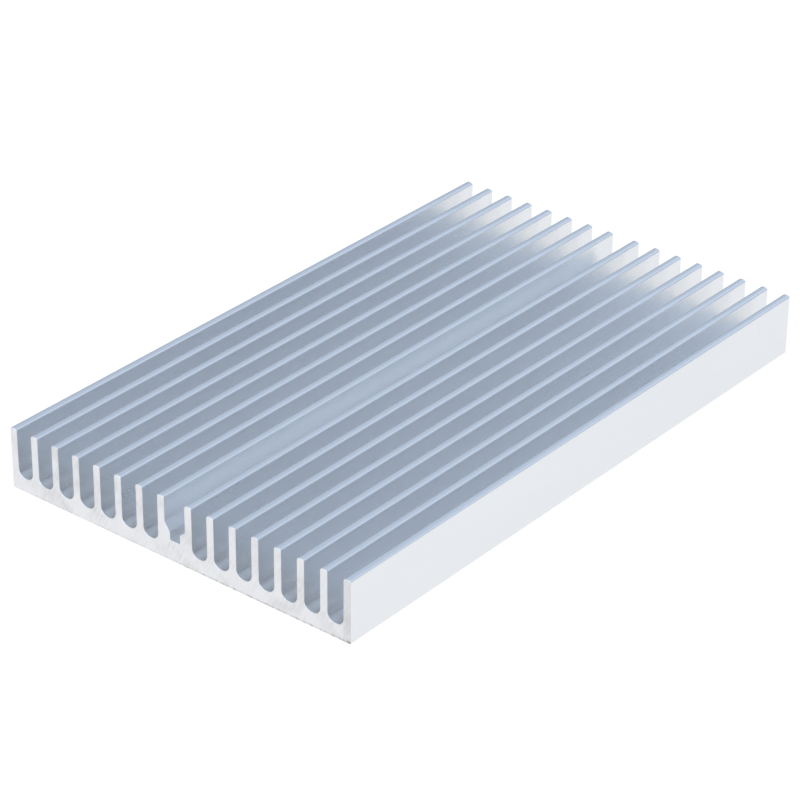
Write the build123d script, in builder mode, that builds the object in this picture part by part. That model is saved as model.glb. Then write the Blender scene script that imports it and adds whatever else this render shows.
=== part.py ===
from build123d import *
import os

# Cut length of the extruded bar, and the overall size of its section, in millimetres
length = 100.0
width = 60.0
height = 9.5

# Fins, in two equal groups on the two sides of the centre slot. The outermost fin of each
# group is the flat side face of the heat sink.
fins_per_side = 8
fin_thickness = 1.2
fin_tip_radius = 0.4

# Base plate: the metal left under the air channels, the rounding where a channel's walls
# run into its floor, and the break of the two long lower edges
base_thickness = 2.2
channel_root_radius = 1.2
lower_edge_radius = 0.2

# Centre slot, wider than an air channel. Two sloping shoulders narrow it to a groove that
# a self-tapping screw bites into. Heights in the slot are measured from the groove's floor.
# The section is not quite symmetric here: the left shoulder starts higher and is steeper.
groove_width = 1.76
groove_floor_rise = 0.95
groove_floor_radius = 0.15
shoulder_width = 0.92
shoulder_radius = 0.35
left_groove_depth = 1.15
left_shoulder_top = 2.5
right_groove_depth = 1.35
right_shoulder_top = 2.1

# A rounding takes at most this share of the wall or channel that it sits on
largest_rounding = 0.47

# How far the outlines that cut the channels run past the fin tips
cut_overrun = 5.0

# Sizes that follow from the ones above
slot_width = groove_width + 2 * shoulder_width
fin_group_width = (width - slot_width) / 2
channels_per_side = fins_per_side - 1
channel_width = (fin_group_width - fins_per_side * fin_thickness) / channels_per_side
fin_pitch = fin_thickness + channel_width
group_centre = slot_width / 2 + fin_group_width / 2
groove_floor = base_thickness + groove_floor_rise
cut_top = height + cut_overrun
tip_rounding = min(fin_tip_radius, largest_rounding * fin_thickness)
root_rounding = min(channel_root_radius, largest_rounding * channel_width)

# Outline that is cut away between two neighbouring fins, standing on the base plate
with BuildSketch() as air_channel:
    with Locations((0, base_thickness)):
        Rectangle(channel_width, cut_top - base_thickness, align=(Align.CENTER, Align.MIN))
    fillet(air_channel.vertices().group_by(Axis.Y)[0], radius=root_rounding)

# Outline that is cut away in the middle: wide above the shoulders, narrow in the groove
with BuildSketch() as centre_slot:
    with BuildLine() as slot_outline:
        Polyline(
            (-slot_width / 2, cut_top),
            (-slot_width / 2, groove_floor + left_shoulder_top),
            (-groove_width / 2, groove_floor + left_groove_depth),
            (-groove_width / 2, groove_floor),
            (groove_width / 2, groove_floor),
            (groove_width / 2, groove_floor + right_groove_depth),
            (slot_width / 2, groove_floor + right_shoulder_top),
            (slot_width / 2, cut_top),
            close=True,
        )
    make_face()
    levels = centre_slot.vertices().group_by(Axis.Y)
    fillet(levels[0], radius=groove_floor_radius)
    shoulder_corners = centre_slot.vertices().filter_by_position(
        Axis.Y,
        groove_floor + min(left_groove_depth, right_groove_depth),
        groove_floor + max(left_shoulder_top, right_shoulder_top),
    )
    fillet(shoulder_corners, radius=shoulder_radius)

# The heat sink: one bar, its section in the XZ plane and its fins running along Y. The
# origin is the middle of the underside.
with BuildPart() as heat_sink:
    with BuildSketch(Plane.XZ) as section:
        with Locations((0, height / 2)):
            Rectangle(width, height)
        fillet(section.vertices().group_by(Axis.Y)[0], radius=lower_edge_radius)
        for side in (-1, 1):
            with Locations((side * group_centre, 0)):
                with GridLocations(fin_pitch, 0, channels_per_side, 1):
                    add(air_channel.sketch, mode=Mode.SUBTRACT)
        add(centre_slot.sketch, mode=Mode.SUBTRACT)
        fillet(section.vertices().group_by(Axis.Y)[-1], radius=tip_rounding)
    extrude(amount=length / 2, both=True)

heat_sink.part.label = "heat_sink"

os.makedirs("parts", exist_ok=True)
export_step(heat_sink.part, "parts/heat_sink.step")
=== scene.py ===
"""The looks of a flat extruded aluminium heat sink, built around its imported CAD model.

Lengths are in metres. The frame is the model's own: the origin is the middle of the underside,
the fins run along Y and stand up along Z, and the sawn end that faces the camera is at -Y.
"""
import logging
import math
import random
from dataclasses import dataclass, field
from enum import Enum
from typing import Any, Dict, Iterator, List, Optional, Sequence, Tuple, Union

import bmesh
import bpy
from mathutils import Matrix, Vector


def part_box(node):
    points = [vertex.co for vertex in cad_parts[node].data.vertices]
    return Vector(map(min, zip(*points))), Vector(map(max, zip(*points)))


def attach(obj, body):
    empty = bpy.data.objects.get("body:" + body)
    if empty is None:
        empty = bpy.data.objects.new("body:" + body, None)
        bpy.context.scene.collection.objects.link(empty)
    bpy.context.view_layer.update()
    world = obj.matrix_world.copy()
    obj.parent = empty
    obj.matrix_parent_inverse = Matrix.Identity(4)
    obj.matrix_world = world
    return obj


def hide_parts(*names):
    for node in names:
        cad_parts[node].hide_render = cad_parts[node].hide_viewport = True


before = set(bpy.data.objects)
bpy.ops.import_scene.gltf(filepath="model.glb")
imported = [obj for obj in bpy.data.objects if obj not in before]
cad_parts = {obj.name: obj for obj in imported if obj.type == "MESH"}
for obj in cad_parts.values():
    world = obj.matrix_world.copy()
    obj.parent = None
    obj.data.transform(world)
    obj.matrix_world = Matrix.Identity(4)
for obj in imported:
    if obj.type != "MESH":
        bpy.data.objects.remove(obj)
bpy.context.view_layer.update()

log = logging.getLogger("heat_sink")

MM = 0.001
NODE = "heat_sink"
BODY = "root"
# Light is thrown from fin to fin many times before it leaves a deep channel
MIRROR_BOUNCES = 48
# How many millimetres a ramp of places covers, half of them on either side of the origin
RAMP_SPAN = 120.0
Colour = Tuple[float, float, float]
# Pairs of a place or value, in rising order, and the level there
Levels = Tuple[Tuple[float, float], ...]


class Surface(Enum):
    """The two kinds of surface that the bar has, each with its place in the mesh's material slots."""

    EXTRUDED = 0
    SAWN = 1


class Axis(Enum):
    """A part of a coordinate, by the name of its output on a Separate XYZ node."""

    X = "X"
    Y = "Y"
    Z = "Z"


class NodeGraph:
    """The node tree of one material or world, and the one way in which nodes are added to it."""

    def __init__(self, owner: Union[bpy.types.Material, bpy.types.World]) -> None:
        """Switches nodes on and clears the tree.

        Args:
            owner: The material or world whose tree is filled.
        """
        owner.use_nodes = True
        self.tree = owner.node_tree
        self.tree.nodes.clear()

    def add(
        self,
        kind: str,
        settings: Optional[Dict[str, Any]] = None,
        inputs: Optional[Dict[Union[str, int], Any]] = None,
    ) -> bpy.types.Node:
        """Adds one node.

        Args:
            kind: The node's type, such as "ShaderNodeTexNoise".
            settings: Properties of the node, which are set first. "stops" gives a ramp's stops.
            inputs: A value, a Signal or another node's socket for each input, by name or number.

        Returns:
            The new node.
        """
        node = self.tree.nodes.new(kind)
        for name, value in (settings or {}).items():
            if name == "stops":
                self._set_stops(node.color_ramp, value)
            else:
                setattr(node, name, value)
        for name, value in (inputs or {}).items():
            socket = node.inputs[name]
            if isinstance(value, Signal):
                self.tree.links.new(value.socket, socket)
            elif isinstance(value, bpy.types.NodeSocket):
                self.tree.links.new(value, socket)
            else:
                socket.default_value = value
        return node

    @staticmethod
    def _set_stops(ramp: bpy.types.ColorRamp, stops: Sequence[Tuple[float, float]]) -> None:
        """Gives a ramp its stops.

        Args:
            ramp: The ramp of a Color Ramp node.
            stops: Pairs of position and grey level, from left to right.
        """
        while len(ramp.elements) < len(stops):
            ramp.elements.new(1.0)
        for element, (position, level) in zip(ramp.elements, stops):
            element.position = position
            element.color = (level, level, level, 1.0)

    def number(self, kind: str, output: Union[str, int], **parts: Any) -> "Signal":
        """Adds a node and wraps one of its outputs.

        Args:
            kind: The node's type.
            output: The output's name or number.
            **parts: settings and inputs, as add takes them.

        Returns:
            The output as a Signal.
        """
        return Signal(self, self.add(kind, **parts).outputs[output])

    def place(self) -> bpy.types.NodeSocket:
        """Finds where on the object a point lies.

        Returns:
            The object coordinates in millimetres, as a vector socket.
        """
        metres = self.add("ShaderNodeTexCoord").outputs["Object"]
        scaled = self.add("ShaderNodeVectorMath", {"operation": "SCALE"}, {0: metres, "Scale": 1.0 / MM})
        return scaled.outputs["Vector"]

    def stretched(self, place: bpy.types.NodeSocket, scale: Sequence[float]) -> bpy.types.NodeSocket:
        """Stretches coordinates, for patterns that are longer one way than another.

        Args:
            place: The coordinates.
            scale: A factor along each axis. A small factor makes a long pattern.

        Returns:
            The stretched coordinates, as a vector socket.
        """
        node = self.add("ShaderNodeVectorMath", {"operation": "MULTIPLY"}, {0: place, 1: tuple(scale)})
        return node.outputs["Vector"]

    def part(self, place: bpy.types.NodeSocket, axis: Axis) -> "Signal":
        """Returns one part of a coordinate or direction."""
        return self.number("ShaderNodeSeparateXYZ", axis.value, inputs={"Vector": place})

    def noise(self, place: bpy.types.NodeSocket, scale: float, detail: float = 2.0) -> "Signal":
        """Adds a noise pattern.

        Args:
            place: The coordinates, in millimetres.
            scale: How many blotches fit in a millimetre.
            detail: How many finer layers are added.

        Returns:
            A signal that runs from about 0 to 1, with a mean of a half.
        """
        return self.number(
            "ShaderNodeTexNoise", 0, inputs={"Vector": place, "Scale": scale, "Detail": detail}
        )

    def ramp(self, value: "Signal", stops: Sequence[Tuple[float, float]]) -> "Signal":
        """Maps a signal through a ramp.

        Args:
            value: The signal.
            stops: Pairs of position and level.

        Returns:
            The mapped signal.
        """
        return self.number("ShaderNodeValToRGB", 0, settings={"stops": stops}, inputs={0: value})

    def share(self, place: bpy.types.NodeSocket, axis: Axis, levels: Levels) -> "Signal":
        """Finds how much of something a place on the bar gets.

        Args:
            place: The object coordinates, in millimetres.
            axis: The coordinate that counts, within the span of the ramp.
            levels: Pairs of a coordinate and the share there, in rising order.

        Returns:
            The share, from 0 to 1.
        """
        stops = [(coordinate / RAMP_SPAN + 0.5, level) for coordinate, level in levels]
        return self.ramp(self.part(place, axis) * (1 / RAMP_SPAN) + 0.5, stops)

    def blend(self, share: "Signal", first: Any, second: Any) -> bpy.types.NodeSocket:
        """Mixes two colours.

        Args:
            share: How much of the second colour is shown, from 0 to 1.
            first: A colour, or a colour socket.
            second: A colour, or a colour socket.

        Returns:
            The mixed colour, as a socket.
        """
        node = self.add(
            "ShaderNodeMix",
            {"data_type": "RGBA"},
            {0: share, 6: self._rgba(first), 7: self._rgba(second)},
        )
        return node.outputs[2]

    @staticmethod
    def _rgba(colour: Any) -> Any:
        """Adds a full alpha to a plain colour, and passes a socket on as it is."""
        return (*colour, 1.0) if isinstance(colour, tuple) else colour

    def finish(self, shader: bpy.types.Node, output: str = "ShaderNodeOutputMaterial") -> None:
        """Joins the last shader to the tree's output.

        Args:
            shader: The node whose first output is shown.
            output: The type of the output node.
        """
        self.add(output, inputs={"Surface": shader.outputs[0]})


class Signal:
    """A number that varies over a surface: a node's output that takes part in arithmetic."""

    def __init__(self, graph: NodeGraph, socket: bpy.types.NodeSocket) -> None:
        """Wraps an output socket of a node in a graph."""
        self.graph = graph
        self.socket = socket

    def _math(self, operation: str, *values: Any) -> "Signal":
        """Adds a Math node.

        Args:
            operation: The node's operation.
            *values: Its inputs, in order, as numbers or signals.

        Returns:
            The result.
        """
        inputs = dict(enumerate(values))
        return self.graph.number("ShaderNodeMath", 0, settings={"operation": operation}, inputs=inputs)

    def __add__(self, other: Any) -> "Signal":
        """Adds a number or a signal."""
        return self._math("ADD", self, other)

    __radd__ = __add__

    def __sub__(self, other: Any) -> "Signal":
        """Takes a number or a signal away."""
        return self._math("SUBTRACT", self, other)

    def __rsub__(self, other: Any) -> "Signal":
        """Takes this signal away from a number."""
        return self._math("SUBTRACT", other, self)

    def __mul__(self, other: Any) -> "Signal":
        """Multiplies by a number or a signal."""
        return self._math("MULTIPLY", self, other)

    __rmul__ = __mul__

    def clamped(self) -> "Signal":
        """Holds the signal between 0 and 1."""
        return self.graph.number(
            "ShaderNodeMath", 0, settings={"operation": "ADD", "use_clamp": True}, inputs={0: self, 1: 0.0}
        )


@dataclass(frozen=True)
class ExtrudedFinish:
    """Bright extruded aluminium: satin, with fine die lines along the bar and a fine grain.

    The die lines spread a reflection across the bar and keep it sharp along the bar, which is what the
    anisotropy does. Shade is painted into the colour low in the channels, just behind the front end, in
    blotches. Its places are pairs of a height, or of a place along the bar or across it, in millimetres and
    a share.
    """

    colour: Colour = (0.994, 0.997, 0.999)
    dull_colour: Colour = (0.977, 0.983, 0.987)
    # Colour of the shade painted low in the channels, just behind the front end
    painted_shade_colour: Colour = (0.70, 0.68, 0.655)
    painted_shade_levels: Levels = ((1.6, 0.0), (2.1, 0.85), (3.2, 0.4), (4.0, 0.25), (6.0, 0.1), (8.0, 0.0))
    painted_shade_depth: Levels = ((-48.0, 1.0), (-46.5, 0.7), (-42.0, 0.0))
    painted_shade_width: Levels = ((-29.4, 0.0), (-29.2, 1.0), (29.2, 1.0), (29.4, 0.0))
    roughness: float = 0.25
    roughness_swing: float = 0.06
    anisotropy: float = 0.82
    anisotropy_turn: float = 0.25
    lines_per_mm: float = 5.0
    line_stretch: float = 0.012
    grain_per_mm: float = 1.6
    fine_detail: float = 3.0
    clouds_per_mm: float = 0.12
    cloud_stretch: float = 0.25
    painted_shade_blotches_per_mm: float = 0.8
    line_dulling: float = 0.35
    cloud_dulling: float = 0.3
    grain_dulling: float = 0.35
    dull_span: Levels = ((0.35, 0.0), (0.65, 1.0))
    line_relief: float = 0.7
    grain_relief: float = 0.3
    bump_height: float = 0.0008 * MM

    def build(self) -> bpy.types.Material:
        """Makes the material for every face that ran through the die.

        Returns:
            The material.
        """
        material = bpy.data.materials.new("extruded_aluminium")
        graph = NodeGraph(material)
        place = graph.place()
        along = graph.stretched(place, (1.0, self.line_stretch, 1.0))
        lines = graph.noise(along, self.lines_per_mm, self.fine_detail)
        grain = graph.noise(place, self.grain_per_mm, self.fine_detail)
        clouds = graph.noise(graph.stretched(place, (1.0, self.cloud_stretch, 1.0)), self.clouds_per_mm)
        dulling = self.line_dulling * lines + self.cloud_dulling * clouds + self.grain_dulling * grain
        dullness = graph.ramp(dulling, self.dull_span)
        # Painted shade: the colour is darkened low in the channels, just behind the front end, in blotches
        painted_shade = graph.share(place, Axis.Z, self.painted_shade_levels) * graph.share(place, Axis.X, self.painted_shade_width)
        patchy = 0.5 + graph.noise(place, self.painted_shade_blotches_per_mm)
        painted_shade = painted_shade * graph.share(place, Axis.Y, self.painted_shade_depth) * patchy
        roughness = self.roughness + self.roughness_swing * (dullness - 0.5)
        metal = graph.blend(dullness, self.colour, self.dull_colour)
        relief = self.line_relief * lines + self.grain_relief * grain
        bump = graph.add(
            "ShaderNodeBump", inputs={"Strength": 1.0, "Distance": self.bump_height, "Height": relief}
        )
        shader = graph.add(
            "ShaderNodeBsdfPrincipled",
            inputs={
                "Base Color": graph.blend(painted_shade, metal, self.painted_shade_colour),
                "Metallic": 1.0,
                "Anisotropic": self.anisotropy,
                "Anisotropic Rotation": self.anisotropy_turn,
                "Roughness": roughness,
                "Normal": bump.outputs["Normal"],
            },
        )
        graph.finish(shader)
        return material


@dataclass(frozen=True)
class SawnFinish:
    """A sawn end: bare metal, matt and bright, crossed by the fine marks of the blade.

    It is greyer on the outermost fin, and a contact shadow is painted as a dark speckled line along the
    foot and as a smear at its corner. Those places are pairs of a place in millimetres and the share there.
    """

    colour: Colour = (0.955, 0.947, 0.95)
    worn_colour: Colour = (0.78, 0.765, 0.76)
    # Colour of the contact shadow painted along the foot and at its corner
    contact_shade_colour: Colour = (0.40, 0.38, 0.365)
    last_fin: Levels = ((-30.0, 0.0), (0.0, 0.02), (28.4, 0.06), (29.0, 0.5))
    foot: Levels = ((0.0, 1.0), (0.12, 0.8), (0.3, 0.0))
    foot_reach: Levels = ((-30.0, 0.3), (-2.0, 0.35), (8.0, 1.0), (30.0, 1.0))
    corner: Levels = ((29.0, 0.0), (29.5, 0.9))
    corner_height: Levels = ((0.25, 1.0), (0.55, 0.0))
    roughness: float = 0.5
    roughness_swing: float = 0.12
    mark_tilt: float = math.radians(62.0)
    marks_per_mm: float = 6.0
    mark_stretch: float = 0.05
    fine_detail: float = 3.0
    smudges_per_mm: float = 0.35
    specks_per_mm: float = 2.2
    scratch_span: Levels = ((0.47, 0.0), (0.67, 0.8))
    speck_span: Levels = ((0.45, 0.2), (0.62, 1.0))
    least_corner_contact_shade: float = 0.45
    bump_height: float = 0.002 * MM

    def build(self) -> bpy.types.Material:
        """Makes the material for the two sawn ends.

        Returns:
            The material.
        """
        material = bpy.data.materials.new("sawn_aluminium")
        graph = NodeGraph(material)
        place = graph.place()
        turned = graph.add(
            "ShaderNodeVectorRotate",
            {"rotation_type": "Y_AXIS"},
            {"Vector": place, "Angle": self.mark_tilt},
        ).outputs["Vector"]
        across = graph.stretched(turned, (self.mark_stretch, 1.0, 1.0))
        marks = graph.noise(across, self.marks_per_mm, self.fine_detail)
        smudges = graph.noise(place, self.smudges_per_mm)
        specks = graph.noise(place, self.specks_per_mm)
        scratched = graph.ramp(0.5 * marks + 0.5 * smudges, self.scratch_span)
        wear = (scratched + graph.share(place, Axis.X, self.last_fin)).clamped()
        speckled = graph.ramp(specks, self.speck_span)
        # Painted contact shadow: a dark speckled line along the foot and a smear at its corner
        foot = graph.share(place, Axis.Z, self.foot) * graph.share(place, Axis.X, self.foot_reach)
        corner = graph.share(place, Axis.X, self.corner)
        corner = corner * graph.share(place, Axis.Z, self.corner_height)
        contact_shade = (foot * speckled + corner * (specks + self.least_corner_contact_shade)).clamped()
        metal = graph.blend(wear, self.colour, self.worn_colour)
        bump = graph.add(
            "ShaderNodeBump", inputs={"Strength": 1.0, "Distance": self.bump_height, "Height": marks}
        )
        shader = graph.add(
            "ShaderNodeBsdfPrincipled",
            inputs={
                "Base Color": graph.blend(contact_shade, metal, self.contact_shade_colour),
                "Metallic": 1.0,
                "Roughness": self.roughness + self.roughness_swing * (marks - 0.5),
                "Normal": bump.outputs["Normal"],
            },
        )
        graph.finish(shader)
        return material


@dataclass(frozen=True)
class Corner:
    """One corner of the bar's section: its place across and above the underside, and its rounding."""

    x: float
    z: float
    radius: float


@dataclass
class HeatSinkBar:
    """The one piece: a bar with the heat sink's section, and a lightly broken edge round each sawn end.

    The overall size comes from the CAD node. The other sizes are those of the section.
    """

    fins_per_side: int = 8
    fin_thickness: float = 1.2 * MM
    fin_tip_radius: float = 0.4 * MM
    base_thickness: float = 2.2 * MM
    channel_root_radius: float = 1.2 * MM
    lower_edge_radius: float = 0.2 * MM
    groove_width: float = 1.76 * MM
    groove_floor_rise: float = 0.95 * MM
    groove_floor_radius: float = 0.15 * MM
    shoulder_width: float = 0.92 * MM
    shoulder_radius: float = 0.35 * MM
    left_groove_depth: float = 1.15 * MM
    left_shoulder_top: float = 2.5 * MM
    right_groove_depth: float = 1.35 * MM
    right_shoulder_top: float = 2.1 * MM
    point_spacing: float = 0.3 * MM
    arc_steps: int = 8
    fewest_arc_steps: int = 3
    wide_radius: float = 1.0 * MM
    die_line_depth: float = 0.003 * MM
    saw_break: float = 0.05 * MM
    seed: int = 7
    grain_centre: Tuple[float, float, float] = (-10.0, 0.0, 0.0)
    width: float = field(init=False)
    height: float = field(init=False)
    front: float = field(init=False)
    back: float = field(init=False)
    slot_width: float = field(init=False)
    channel_width: float = field(init=False)
    pitch: float = field(init=False)

    def __post_init__(self) -> None:
        """Reads the overall size from the CAD node and works out the sizes that follow."""
        low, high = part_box(NODE)
        self.width = high.x - low.x
        self.front = low.y
        self.back = high.y
        self.height = high.z
        self.slot_width = self.groove_width + 2 * self.shoulder_width
        group = (self.width - self.slot_width) / 2
        channels = self.fins_per_side - 1
        self.channel_width = (group - self.fins_per_side * self.fin_thickness) / channels
        self.pitch = self.fin_thickness + self.channel_width

    def corners(self) -> List[Corner]:
        """Walks round the section, counter-clockwise from the lower left, seen from the front.

        Returns:
            Its corners.
        """
        half = self.width / 2
        corners = [
            Corner(-half, 0.0, self.lower_edge_radius),
            Corner(half, 0.0, self.lower_edge_radius),
        ]
        corners += self._fin_group(half)
        corners += self._centre_slot()
        corners += self._fin_group(-self.slot_width / 2)
        return corners

    def _fin_group(self, right: float) -> List[Corner]:
        """Walks over one group of fins from right to left.

        Args:
            right: The right face of the group's right-hand fin.

        Returns:
            The corners of the fin tips and of the channels between them.
        """
        corners = []
        for fin in range(self.fins_per_side):
            face = right - fin * self.pitch
            corners.append(Corner(face, self.height, self.fin_tip_radius))
            corners.append(Corner(face - self.fin_thickness, self.height, self.fin_tip_radius))
            if fin < self.fins_per_side - 1:
                root = self.channel_root_radius
                corners.append(Corner(face - self.fin_thickness, self.base_thickness, root))
                corners.append(Corner(face - self.pitch, self.base_thickness, root))
        return corners

    def _centre_slot(self) -> List[Corner]:
        """Walks through the stepped slot between the two groups, from right to left.

        Returns:
            The corners of its shoulders and of its groove.
        """
        wall = self.slot_width / 2
        groove = self.groove_width / 2
        floor = self.base_thickness + self.groove_floor_rise
        return [
            Corner(wall, floor + self.right_shoulder_top, self.shoulder_radius),
            Corner(groove, floor + self.right_groove_depth, self.shoulder_radius),
            Corner(groove, floor, self.groove_floor_radius),
            Corner(-groove, floor, self.groove_floor_radius),
            Corner(-groove, floor + self.left_groove_depth, self.shoulder_radius),
            Corner(-wall, floor + self.left_shoulder_top, self.shoulder_radius),
        ]

    def outline(self) -> List[Vector]:
        """Rounds the corners and adds points on the straight stretches.

        Returns:
            The closed outline as points (x, z), with faint die lines pressed into its straight stretches.
        """
        corners = self.corners()
        arcs = [
            self._arc(corners[i - 1], corners[i], corners[(i + 1) % len(corners)])
            for i in range(len(corners))
        ]
        dice = random.Random(self.seed)
        points: List[Vector] = []
        for arc, following in zip(arcs, arcs[1:] + arcs[:1]):
            points += arc
            points += self._straight(arc[-1], following[0], dice)
        return points

    def _arc(self, before: Corner, corner: Corner, after: Corner) -> List[Vector]:
        """Rounds one corner.

        Args:
            before: The corner ahead of it.
            corner: The corner itself.
            after: The corner that follows.

        Returns:
            The points of the arc, from the first tangent point to the second.
        """
        here = Vector((corner.x, corner.z))
        back = (Vector((before.x, before.z)) - here).normalized()
        ahead = (Vector((after.x, after.z)) - here).normalized()
        half_angle = back.angle(ahead) / 2
        centre = here + (back + ahead).normalized() * (corner.radius / math.sin(half_angle))
        reach = corner.radius / math.tan(half_angle)
        first = here + back * reach - centre
        sweep = first.angle_signed(here + ahead * reach - centre)
        fineness = 2 if corner.radius > self.wide_radius else 1
        steps = round(self.arc_steps * abs(sweep) / (math.pi / 2) * fineness)
        steps = max(self.fewest_arc_steps, steps)
        return [centre + Matrix.Rotation(-sweep * i / steps, 2) @ first for i in range(steps + 1)]

    def _straight(self, start: Vector, end: Vector, dice: random.Random) -> Iterator[Vector]:
        """Divides a straight stretch.

        Args:
            start: Its first point, which isn't repeated.
            end: Its last point, which isn't repeated either.
            dice: The source of the die lines' depths.

        Yields:
            The points between, each pressed a few microns into the metal.
        """
        run = end - start
        inward = Vector((-run.y, run.x)).normalized()
        count = int(run.length // self.point_spacing)
        for i in range(1, count):
            yield start + run * (i / count) + inward * (self.die_line_depth * dice.random())

    def build(self) -> bpy.types.Object:
        """Builds the bar's mesh and makes it stand for the CAD node.

        Returns:
            The new object, with its two materials.
        """
        outline = self.outline()
        shrunk = self._shrunk(outline, self.saw_break)
        rings = [
            (self.front, shrunk),
            (self.front + self.saw_break, outline),
            (self.back - self.saw_break, outline),
            (self.back, shrunk),
        ]
        mesh = bmesh.new()
        loops = [[mesh.verts.new((p.x, y, p.y)) for p in points] for y, points in rings]
        finishes = (Surface.SAWN, Surface.EXTRUDED, Surface.SAWN)
        for near, far, finish in zip(loops, loops[1:], finishes):
            self._skin(mesh, near, far, finish)
        for cap in (loops[0], loops[-1][::-1]):
            face = mesh.faces.new(cap)
            face.material_index = Surface.SAWN.value
        self._sharpen(mesh, loops)
        data = bpy.data.meshes.new("heat_sink_bar")
        mesh.to_mesh(data)
        mesh.free()
        # The metal's grain runs round the centre of the texture space: from far off, straight along Y
        data.use_auto_texspace = False
        data.texspace_location = self.grain_centre
        data.texspace_size = (1.0, 1.0, 1.0)
        bar = bpy.data.objects.new("heat_sink_bar", data)
        bpy.context.scene.collection.objects.link(bar)
        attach(bar, BODY)
        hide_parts(NODE)
        return bar

    @staticmethod
    def _shrunk(outline: Sequence[Vector], amount: float) -> List[Vector]:
        """Draws an outline in towards the metal.

        Args:
            outline: The closed outline.
            amount: How far each point moves.

        Returns:
            The smaller outline, point for point.
        """
        moved = []
        for i, point in enumerate(outline):
            run = outline[(i + 1) % len(outline)] - outline[i - 1]
            moved.append(point + Vector((-run.y, run.x)).normalized() * amount)
        return moved

    @staticmethod
    def _skin(mesh: bmesh.types.BMesh, near: Sequence[Any], far: Sequence[Any], finish: Surface) -> None:
        """Joins two rings of vertices with smooth faces.

        Args:
            mesh: The mesh that gets the faces.
            near: The ring nearer the front.
            far: The ring behind it.
            finish: The kind of surface between them.
        """
        for i, corner in enumerate(near):
            following = (i + 1) % len(near)
            face = mesh.faces.new((corner, far[i], far[following], near[following]))
            face.smooth = True
            face.material_index = finish.value

    @staticmethod
    def _sharpen(mesh: bmesh.types.BMesh, loops: Sequence[Sequence[Any]]) -> None:
        """Marks every edge that runs round the section as sharp, so that each ring keeps its own shading.

        Args:
            mesh: The mesh that holds the rings.
            loops: The rings of vertices.
        """
        mesh.edges.ensure_lookup_table()
        for loop in loops:
            for i, corner in enumerate(loop):
                edge = mesh.edges.get((corner, loop[(i + 1) % len(loop)]))
                edge.smooth = False

    def dress(self, bar: bpy.types.Object) -> None:
        """Gives the bar its two finishes, in the order of the Surface names.

        Args:
            bar: The object that build made.
        """
        finishes = {Surface.EXTRUDED: ExtrudedFinish(), Surface.SAWN: SawnFinish()}
        for surface in Surface:
            bar.data.materials.append(finishes[surface].build())


@dataclass(frozen=True)
class Softbox:
    """One square studio lamp that faces a point of the scene."""

    name: str
    place: Tuple[float, float, float]
    side: float
    watts: float
    colour: Colour = (1.0, 1.0, 1.0)

    def hang(self) -> None:
        """Adds the lamp, turned towards the origin."""
        lamp = bpy.data.lights.new(self.name, "AREA")
        lamp.shape = "SQUARE"
        lamp.size = self.side
        lamp.energy = self.watts
        lamp.color = self.colour
        item = bpy.data.objects.new(self.name, lamp)
        item.location = self.place
        item.rotation_euler = (-Vector(self.place)).to_track_quat("-Z", "Y").to_euler()
        bpy.context.scene.collection.objects.link(item)


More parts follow.
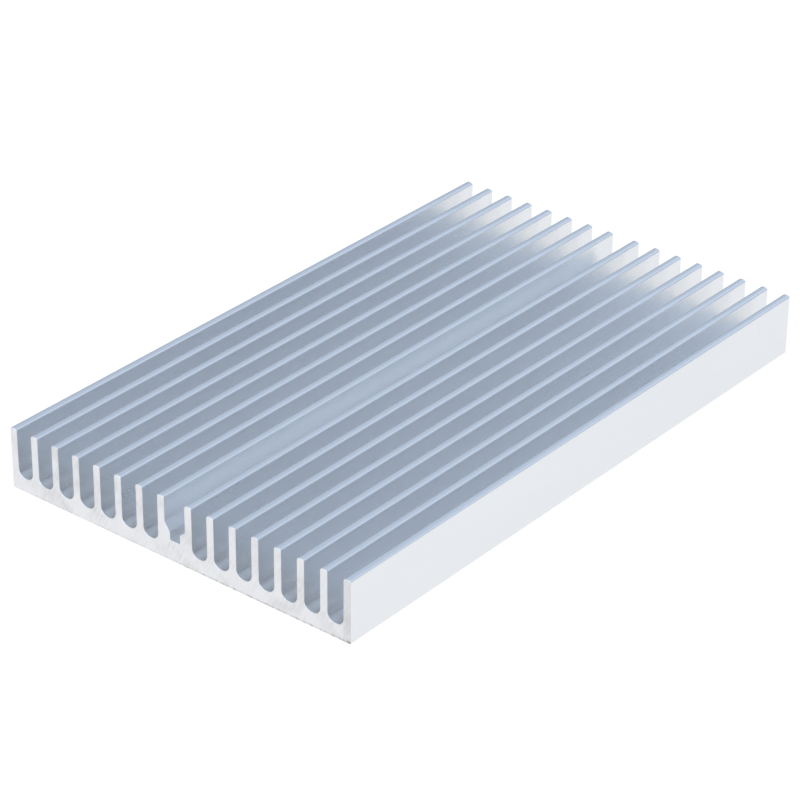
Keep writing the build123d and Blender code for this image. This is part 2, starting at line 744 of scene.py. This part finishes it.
@dataclass(frozen=True)
class Studio:
    """A pale table in a tent of soft light, which is brightest in a belt half way up, and a front lamp.

    The tent's levels are pairs of an elevation in degrees and the share of the bright cloth there. The
    share rises towards +X by side_tilt.
    """

    bright_cloth: Colour = (0.61, 0.713, 0.875)
    dim_cloth: Colour = (0.26, 0.313, 0.39)
    levels: Levels = (
        (14.5, 0.0),
        (24.5, 0.79),
        (27.0, 0.91),
        (31.0, 0.86),
        (36.0, 0.98),
        (41.0, 0.90),
        (46.0, 0.61),
    )
    side_tilt: float = 0.45
    table_side: float = 3.0
    table_colour: Colour = (0.22, 0.22, 0.22)
    camera_glow: float = 0.88
    mirror_glow: float = 0.688
    front_lamp: Softbox = Softbox("front_lamp", (0.1, -1.0, 0.66), 2.2, 12.1, (1.0, 0.985, 0.955))

    def build(self) -> None:
        """Sets the world, the table and the lamp."""
        self._hang_tent()
        self._lay_table()
        self.front_lamp.hang()

    def _hang_tent(self) -> None:
        """Fills the world with the tent, whose cloth changes with the height above the horizon."""
        world = bpy.data.worlds.new("tent")
        bpy.context.scene.world = world
        graph = NodeGraph(world)
        direction = graph.add("ShaderNodeTexCoord").outputs["Generated"]
        stops = [(math.sin(math.radians(elevation)), share) for elevation, share in self.levels]
        share = graph.ramp(graph.part(direction, Axis.Z), stops)
        share = share + self.side_tilt * graph.part(direction, Axis.X)
        cloth = graph.blend(share.clamped(), self.dim_cloth, self.bright_cloth)
        glow = graph.add("ShaderNodeBackground", inputs={"Color": cloth, "Strength": 1.0})
        graph.finish(glow, "ShaderNodeOutputWorld")

    def _lay_table(self) -> None:
        """Adds the table top, which isn't part of the object."""
        half = self.table_side / 2
        data = bpy.data.meshes.new("table_top")
        square = [(-half, -half, 0.0), (half, -half, 0.0), (half, half, 0.0), (-half, half, 0.0)]
        data.from_pydata(square, [], [(0, 1, 2, 3)])
        table = bpy.data.objects.new("table_top", data)
        bpy.context.scene.collection.objects.link(table)
        data.materials.append(self._table_finish())

    def _table_finish(self) -> bpy.types.Material:
        """Makes a grey cloth that glows to the camera and in reflections, and keeps shadows.

        Returns:
            The material.
        """
        material = bpy.data.materials.new("table_white")
        graph = NodeGraph(material)
        path = graph.add("ShaderNodeLightPath")
        camera = Signal(graph, path.outputs["Is Camera Ray"])
        mirrored = Signal(graph, path.outputs["Is Glossy Ray"])
        through = Signal(graph, path.outputs["Is Transmission Ray"])
        strength = camera * self.camera_glow + (mirrored + through).clamped() * self.mirror_glow
        cloth = graph.add("ShaderNodeBsdfDiffuse", inputs={"Color": (*self.table_colour, 1.0)})
        glow = graph.add("ShaderNodeEmission", inputs={"Color": (1.0, 1.0, 1.0, 1.0), "Strength": strength})
        graph.finish(graph.add("ShaderNodeAddShader", inputs={0: cloth.outputs[0], 1: glow.outputs[0]}))
        return material


@dataclass(frozen=True)
class PhotoCamera:
    """The camera of the photograph, as seen from the object."""

    aim: Tuple[float, float, float] = (0.54 * MM, -4.01 * MM, 4.75 * MM)
    distance: float = 444.85 * MM
    azimuth: float = math.radians(38.889)
    elevation: float = math.radians(29.615)
    roll: float = math.radians(-0.5495)
    focal_pixels: float = 3168.3
    frame_pixels: float = 800.0
    sensor: float = 36.0

    def build(self) -> None:
        """Adds the camera and makes it the scene's own."""
        data = bpy.data.cameras.new("photo_camera")
        data.sensor_fit = "HORIZONTAL"
        data.sensor_width = self.sensor
        data.lens = self.focal_pixels * self.sensor / self.frame_pixels
        camera = bpy.data.objects.new("photo_camera", data)
        level = math.cos(self.elevation)
        back = Vector(
            (math.sin(self.azimuth) * level, -math.cos(self.azimuth) * level, math.sin(self.elevation))
        )
        turn = back.to_track_quat("Z", "Y").to_matrix().to_4x4()
        camera.matrix_world = (
            Matrix.Translation(Vector(self.aim) + back * self.distance)
            @ turn
            @ Matrix.Rotation(-self.roll, 4, "Z")
        )
        bpy.context.scene.collection.objects.link(camera)
        bpy.context.scene.camera = camera


def main() -> None:
    """Builds the heat sink, the studio and the camera, and reports each piece."""
    scene = bpy.context.scene
    scene.view_settings.view_transform = "Standard"
    scene.cycles.max_bounces = MIRROR_BOUNCES
    scene.cycles.glossy_bounces = MIRROR_BOUNCES
    bar_plan = HeatSinkBar()
    bar = bar_plan.build()
    bar_plan.dress(bar)
    faces = len(bar.data.polygons)
    log.info("%s: %d faces, %d points round its section", bar.name, faces, len(bar_plan.outline()))
    Studio().build()
    log.info("studio: table, tent and lamp")
    PhotoCamera().build()
    log.info("camera in place")


if __name__ == "__main__":
    logging.basicConfig(level=logging.INFO, format="%(name)s: %(message)s")
    main()
